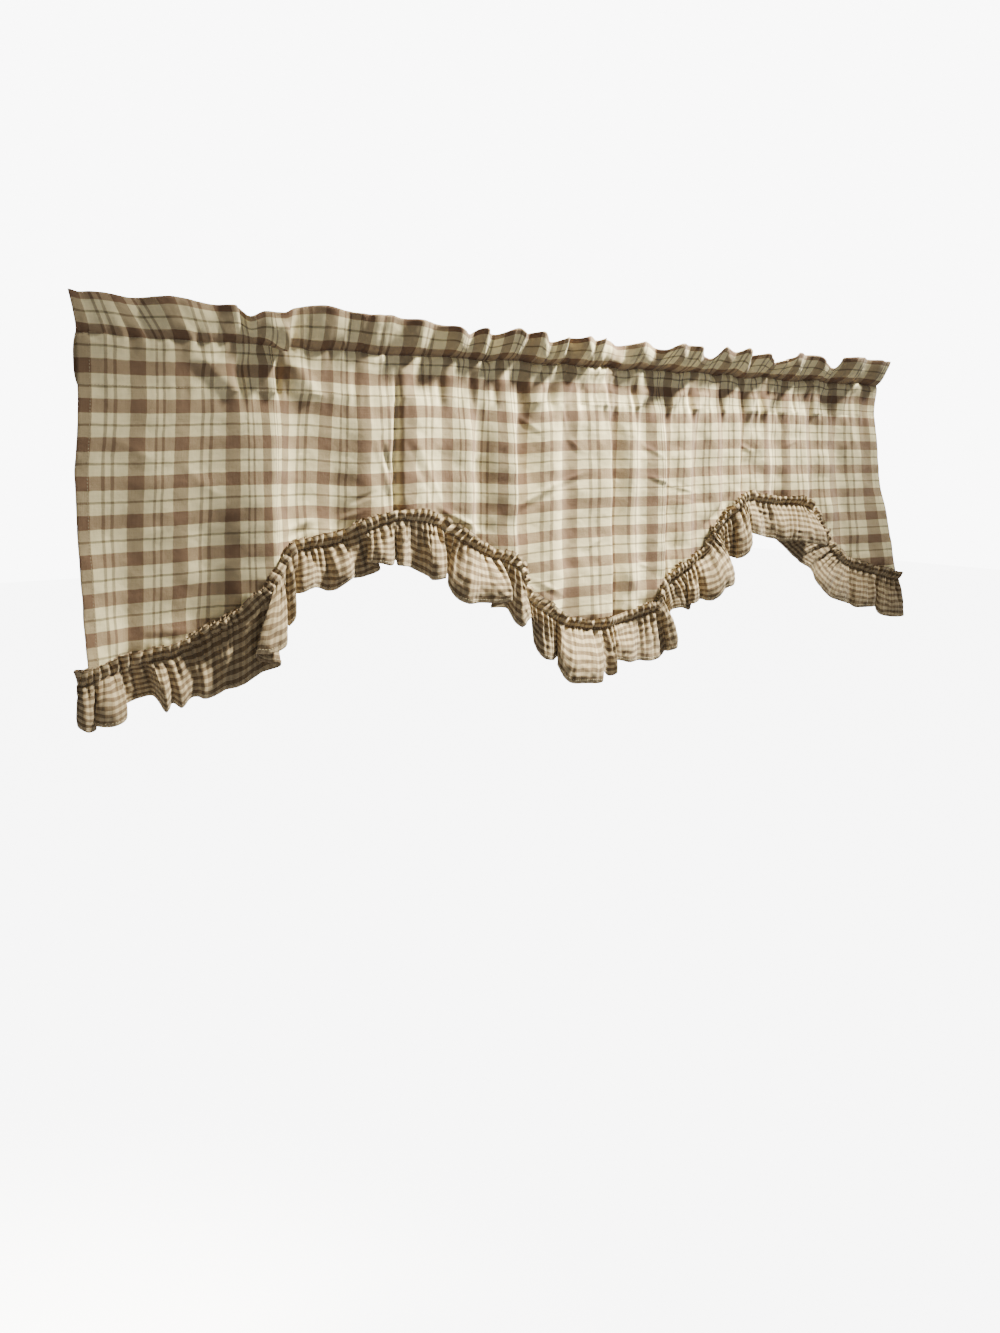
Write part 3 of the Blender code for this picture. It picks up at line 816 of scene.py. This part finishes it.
def stitch_places(line, normal):
    """Corners of the stitches along a line of the cloth: each has three sections of four."""
    run = run_along(line)
    starts = np.arange(0.6, run[-1] - STITCH_LENGTH, STITCH_EVERY)
    stations = starts[:, None] + np.array([0, 0.5, 1]) * STITCH_LENGTH
    at, up = [np.stack([np.interp(stations, run, values) for values in of.T], axis=-1)
              for of in (line, normal)]
    up = unit(up)
    side = np.cross(up, unit(at[:, 2:] - at[:, :1]))
    centre = at + up * np.array(STITCH_LIFT)[None, :, None]
    thick = STITCH_THICK * np.array(STITCH_TAPER)[None, :, None]
    return np.stack([centre + side * thick, centre + up * thick, centre - side * thick,
                     centre - up * thick], axis=2)


def stitching(name, lines, surface):
    """One object with all the stitches of a cloth, from its lines of points and normals."""
    corners = np.concatenate([stitch_places(line, normal) for line, normal in lines])
    count = len(corners)
    mesh = bpy.data.meshes.new(name)
    section = np.arange(4)
    beside = (section + 1) % 4
    faces = [np.stack([low * 4 + section, low * 4 + beside, low * 4 + 4 + beside,
                       low * 4 + 4 + section], axis=-1) for low in (0, 1)]
    faces += [np.array([[3, 2, 1, 0]]), np.array([[8, 9, 10, 11]])]
    faces = np.concatenate(faces)
    faces = (np.arange(count)[:, None, None] * 12 + faces[None]).reshape(-1, 4)
    mesh.from_pydata((corners.reshape(-1, 3) * MM).tolist(), [], faces.tolist())
    return placed(name, mesh, surface)


def wall_line(side, down):
    """A line of stitches along the pocket, on its front (1) or its back (-1)."""
    along = np.linspace(1.5, WIDTH - 1.5, 1400)
    downs = down + side * np.array([-0.02, 0, 0.02])
    points = pocket_rows(along, downs, side)
    return points[1], cloth_normals(points)[1]


def end_line(make, at):
    """A line of stitches down a side hem, on the rows that make gives at three places."""
    points = make(np.array([at - 0.8, at, at + 0.8]))
    return points[:, 1], cloth_normals(points)[:, 1]


def stitch_heading(surface):
    """The pocket's two seams, seen in front and behind, and its side hems."""
    lines = [wall_line(side, down) for side in (1, -1) for down in (0.03, 0.97)]
    for at in (SIDE_STITCH, WIDTH - SIDE_STITCH):
        lines.append(end_line(lambda along: pocket_rows(along, POCKET_STEPS, 1), at))
        lines.append(end_line(lambda along: pocket_rows(along, POCKET_STEPS[::-1], -1), at))
    return stitching("heading_stitches", lines, surface)


def stitch_drop(surface):
    """The side hems of the hanging drop."""
    lines = [end_line(lambda along: drop_rows(along, DROP_STEPS), at)
             for at in (SIDE_STITCH, WIDTH - SIDE_STITCH)]
    return stitching("drop_stitches", lines, surface)


def stitch_ruffle(surface):
    """The ruffle's gathering seam and its hem."""
    points = ruffle_points()[0]
    normal = cloth_normals(points)
    lines = [(points[row], normal[row]) for row in (len(FRILL_STEPS) - 1, len(points) - 3)]
    return stitching("ruffle_stitches", lines, surface)


# ---------------- materials
class Nodes:
    """Short calls for building a material's node tree."""

    def __init__(self, name):
        self.material = bpy.data.materials.new(name)
        self.material.use_nodes = True
        self.tree = self.material.node_tree
        self.shader = self.tree.nodes["Principled BSDF"]

    def node(self, kind, settings=None, **inputs):
        made = self.tree.nodes.new(kind)
        for key, value in (settings or {}).items():
            setattr(made, key, value)
        for key, value in inputs.items():
            self.feed(made.inputs[key.replace("_", " ")], value)
        return made

    def feed(self, socket, value):
        if isinstance(value, bpy.types.NodeSocket):
            self.tree.links.new(value, socket)
        else:
            socket.default_value = value

    def set(self, **inputs):
        """Values or links for the shader's own sockets."""
        for key, value in inputs.items():
            self.feed(self.shader.inputs[key.replace("_", " ")], value)

    def noise(self, at, scale, detail, **inputs):
        return self.node("ShaderNodeTexNoise", {"noise_dimensions": "2D"}, Vector=at,
                         Scale=scale, Detail=detail, **inputs).outputs[0]

    def stretched(self, at, scale):
        made = self.tree.nodes.new("ShaderNodeVectorMath")
        made.operation = "MULTIPLY"
        self.feed(made.inputs[0], at)
        self.feed(made.inputs[1], scale)
        return made.outputs[0]

    def math(self, operation, first, second=0.0, third=0.0):
        made = self.tree.nodes.new("ShaderNodeMath")
        made.operation = operation
        for socket, value in zip(made.inputs, (first, second, third)):
            self.feed(socket, value)
        return made.outputs[0]

    def ramp(self, value, stops):
        """A colour ramp from its stops of place and colour."""
        made = self.tree.nodes.new("ShaderNodeValToRGB")
        made.color_ramp.interpolation = "LINEAR"
        elements = made.color_ramp.elements
        while len(elements) > 1:
            elements.remove(elements[-1])
        elements[0].position = stops[0][0]
        elements[0].color = (*stops[0][1], 1)
        for at, colour in stops[1:]:
            element = elements.new(at)
            element.color = (*colour, 1)
        self.feed(made.inputs[0], value)
        return made.outputs[0]

    def mix(self, blend, factor, first, second):
        made = self.tree.nodes.new("ShaderNodeMix")
        made.data_type = "RGBA"
        made.blend_type = blend
        self.feed(made.inputs[0], factor)
        self.feed(made.inputs[6], first)
        self.feed(made.inputs[7], second)
        return made.outputs[2]


def stripes(parts, soft):
    """Ramp stops for a repeat of stripes: parts of width and colour, soft at their edges."""
    stops = []
    at = 0.0
    for width, colour in parts:
        stops.append((min(at + soft, 1), colour))
        stops.append((min(at + width - soft, 1), colour))
        at += width
    return stops


WHITE = (1.0, 1.0, 1.0)
CREAM = (0.88, 0.80, 0.51)
WARP_TAN = (0.42, 0.365, 0.365)    # what a brown warp band leaves of the cream
WEFT_TAN = (0.37, 0.277, 0.28)   # and a brown weft band
GINGHAM_CREAM = (0.45, 0.37, 0.24)
CHECK_WARP = (0.76, 0.73, 0.70)  # what the gingham's stripes leave of it, along the drop
CHECK_WEFT = (0.39, 0.34, 0.315)  # and across it
OLIVE_LINE = (0.43, 0.41, 0.40)
PALE_LINE = (0.47, 0.45, 0.46)
THREAD_DARK = (0.36, 0.30, 0.20)
THREAD_PALE = (0.60, 0.53, 0.38)


def cloth_surface(name, cream, across_parts, down_parts, across_repeat, down_repeat,
                  across_shift, down_shift):
    """Woven cotton: warp and weft stripes that deepen where they cross, with its yarns."""
    nodes = Nodes(name)
    uv = nodes.node("ShaderNodeUVMap", {"uv_map": "cloth"}).outputs[0]
    split = nodes.node("ShaderNodeSeparateXYZ", Vector=uv)
    wander = nodes.math("MULTIPLY_ADD", nodes.noise(uv, 9.0, 2.0), 1.0, -0.5)
    u = nodes.math("MULTIPLY_ADD", split.outputs[0], 100.0, wander)
    v = nodes.math("MULTIPLY_ADD", split.outputs[1], 100.0, wander)
    across = nodes.math("FRACT", nodes.math("MULTIPLY_ADD", u, 1 / across_repeat, across_shift))
    down = nodes.math("FRACT", nodes.math("MULTIPLY_ADD", v, 1 / down_repeat, down_shift))
    warp = nodes.ramp(across, stripes(across_parts, 0.008))
    weft = nodes.ramp(down, stripes(down_parts, 0.008))
    both = nodes.mix("MIX", 0.4, nodes.mix("MULTIPLY", 1.0, warp, weft),
                     nodes.mix("DARKEN", 1.0, warp, weft))
    # yarns: a plain weave shows the warp and the weft by turns
    wave_u = nodes.math("SINE", nodes.math("MULTIPLY", u, math.pi / YARN))
    wave_v = nodes.math("SINE", nodes.math("MULTIPLY", v, math.pi / YARN))
    weave = nodes.math("MULTIPLY", wave_u, wave_v)
    over = nodes.math("MULTIPLY_ADD", weave, 0.5, 0.5)
    yarns = nodes.mix("MIX", over, nodes.mix("MULTIPLY", 1.0, weft, weft),
                      nodes.mix("MULTIPLY", 1.0, warp, warp))
    tint = nodes.mix("MIX", 0.3, both, yarns)
    # slubs: long thin streaks in both directions
    streak_u = nodes.noise(nodes.stretched(uv, (160.0, 3.0, 1.0)), 1.0, 3.0)
    streak_v = nodes.noise(nodes.stretched(uv, (3.0, 160.0, 1.0)), 1.0, 3.0)
    slub = nodes.math("ADD", streak_u, streak_v)
    slub_tone = nodes.math("MULTIPLY_ADD", slub, 0.22, 0.78)
    wide = nodes.noise(uv, 1.7, 3.0)
    tone = nodes.math("MULTIPLY_ADD", wide, 0.10, 0.95)
    tone = nodes.math("MULTIPLY", tone, slub_tone)
    yarn_tone = nodes.math("MULTIPLY_ADD", nodes.math("ABSOLUTE", weave), 0.10, 0.95)
    tone = nodes.math("MULTIPLY", tone, yarn_tone)
    grey = nodes.node("ShaderNodeCombineColor", Red=tone, Green=tone, Blue=tone).outputs[0]
    colour = nodes.mix("MULTIPLY", 1.0, tint, (*cream, 1))
    colour = nodes.mix("MULTIPLY", 1.0, colour, grey)
    # relief: yarns over a faint cockle
    cockle = nodes.noise(uv, 14.0, 4.0, Roughness=0.55)
    height = nodes.math("MULTIPLY_ADD", weave, 0.10, cockle)
    height = nodes.math("MULTIPLY_ADD", slub, 0.25, height)
    bump = nodes.node("ShaderNodeBump", Strength=0.5, Distance=0.0009, Height=height)
    rough = nodes.math("MULTIPLY_ADD", wide, 0.08, 0.84)
    nodes.set(Base_Color=colour, Normal=bump.outputs[0], Roughness=rough,
              Specular_IOR_Level=0.25, Sheen_Weight=0.12, Sheen_Roughness=0.5)
    return nodes.material


def plaid_surface():
    """Brown and cream plaid: a wide band and a pair of thin lines in each warp repeat."""
    warp = ((0.16, WARP_TAN), (0.215, WHITE), (0.064, PALE_LINE), (0.103, WHITE),
            (0.064, PALE_LINE), (0.234, WHITE), (0.16, WARP_TAN))
    weft = ((0.03, OLIVE_LINE), (0.285, WHITE), (0.37, WEFT_TAN), (0.285, WHITE),
            (0.03, OLIVE_LINE))
    return cloth_surface("plaid_weave", CREAM, warp, weft, WARP_REPEAT, WEFT_REPEAT, 0.0,
                         -WEFT_LINE_AT / WEFT_REPEAT)


def gingham_surface():
    """Small even checks of brown and cream."""
    across = ((0.5, CHECK_WARP), (0.5, WHITE))
    down = ((0.5, CHECK_WEFT), (0.5, WHITE))
    return cloth_surface("gingham_weave", GINGHAM_CREAM, across, down, CHECK_REPEAT,
                         CHECK_REPEAT, 0.0, 0.2)


def thread_surface():
    """Twisted cotton thread, a little uneven in colour."""
    nodes = Nodes("cotton_thread")
    place_at = nodes.node("ShaderNodeTexCoord").outputs["Object"]
    uneven = nodes.node("ShaderNodeTexNoise", Vector=place_at, Scale=160.0, Detail=2.0)
    colour = nodes.mix("MIX", uneven.outputs[0], (*THREAD_DARK, 1), (*THREAD_PALE, 1))
    twist = nodes.node("ShaderNodeTexNoise", Vector=place_at, Scale=1600.0, Detail=1.0)
    bump = nodes.node("ShaderNodeBump", Strength=0.4, Distance=0.0002, Height=twist.outputs[0])
    nodes.set(Base_Color=colour, Normal=bump.outputs[0], Roughness=0.62,
              Specular_IOR_Level=0.3, Sheen_Weight=0.1)
    return nodes.material


# ---------------- stage, lights and camera
CAMERA_TURN = math.radians(34.6)    # the camera looks this far round to the right
CAMERA_FOCAL = 1040.0               # in pixels of the photograph's 1333 pixel side
LEFT_END_ASIDE = -395.8             # the header seam's left end, from the camera
LEFT_END_AHEAD = 968.5
LEFT_END_ABOVE = 118.5
VIEW_DOWN = 206.5                   # the picture's middle below the camera's level, pixels
PICTURE_HEIGHT = 1333.0


def make_camera():
    data = bpy.data.cameras.new("camera")
    data.sensor_width = 36
    data.lens = 36 * CAMERA_FOCAL / PICTURE_HEIGHT
    data.shift_y = -VIEW_DOWN / PICTURE_HEIGHT
    data.clip_start = 0.01
    camera = bpy.data.objects.new("camera", data)
    right = Vector((math.cos(CAMERA_TURN), -math.sin(CAMERA_TURN), 0))
    ahead = Vector((math.sin(CAMERA_TURN), math.cos(CAMERA_TURN), 0))
    end = Vector((-WIDTH / 2, 0, STITCH_Z))
    eye = end - right * LEFT_END_ASIDE - ahead * LEFT_END_AHEAD - Vector((0, 0, LEFT_END_ABOVE))
    turn = Matrix((right, Vector((0, 0, 1)), -ahead)).transposed().to_4x4()
    camera.matrix_world = Matrix.Translation(eye * MM) @ turn
    bpy.context.scene.collection.objects.link(camera)
    bpy.context.scene.camera = camera


def lamp(kind, name, place_at, aim, power, colour, **settings):
    data = bpy.data.lights.new(name, kind)
    data.energy = power
    data.color = colour
    for key, value in settings.items():
        setattr(data, key, value)
    light = bpy.data.objects.new(name, data)
    light.location = place_at
    light.rotation_euler = (Vector(aim) - Vector(place_at)).to_track_quat("-Z", "Y").to_euler()
    bpy.context.scene.collection.objects.link(light)


def make_stage():
    world = bpy.data.worlds.new("studio")
    bpy.context.scene.world = world
    world.use_nodes = True
    tree = world.node_tree
    back = tree.nodes["Background"]
    back.inputs[0].default_value = (1.0, 0.96, 0.94, 1)
    back.inputs[1].default_value = 0.18
    seen = tree.nodes.new("ShaderNodeBackground")
    seen.inputs[1].default_value = 9.0
    seen.inputs[0].default_value = (1, 1, 1, 1)
    path = tree.nodes.new("ShaderNodeLightPath")
    mix = tree.nodes.new("ShaderNodeMixShader")
    tree.links.new(path.outputs["Is Camera Ray"], mix.inputs[0])
    tree.links.new(back.outputs[0], mix.inputs[1])
    tree.links.new(seen.outputs[0], mix.inputs[2])
    tree.links.new(mix.outputs[0], tree.nodes["World Output"].inputs[0])
    bpy.ops.mesh.primitive_plane_add(size=24, location=(0, 0, -1.5))
    floor = bpy.context.object
    floor.name = "floor"
    pale = Nodes("pale_floor")
    glow = pale.node("ShaderNodeLightPath").outputs["Is Camera Ray"]
    pale.set(Base_Color=(0.9, 0.9, 0.9, 1), Roughness=0.9, Emission_Strength=glow,
             Emission_Color=(7.6, 7.6, 7.6, 1))
    floor.data.materials.append(pale.material)
    lamp("SPOT", "key", (1.4, -0.78, 2.4), (0.06, 0, -0.1), 3750, (1, 0.93, 0.74),
         shadow_soft_size=0.24, spot_size=math.radians(22.6), spot_blend=1.0)
    fill = dict(shape="RECTANGLE", size=1.6, size_y=1.2)
    lamp("AREA", "front_fill", (-1.2, -2.2, -0.9), (0, 0, -0.15), 8, (1, 0.9, 0.76), **fill)
    lamp("AREA", "back_fill", (-0.6, 2.4, 1.4), (0, 0, -0.1), 25, (1, 1, 1), **fill)


# ---------------- the scene
def main():
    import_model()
    plaid = plaid_surface()
    thread = thread_surface()
    heading = make_heading(plaid)
    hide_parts("heading")
    seams = stitch_heading(thread)
    drop = make_drop(plaid)
    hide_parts("panel")
    hems = stitch_drop(thread)
    ruffle = make_ruffle(gingham_surface())
    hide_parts("ruffle")
    gathering = stitch_ruffle(thread)
    make_camera()
    make_stage()


main()
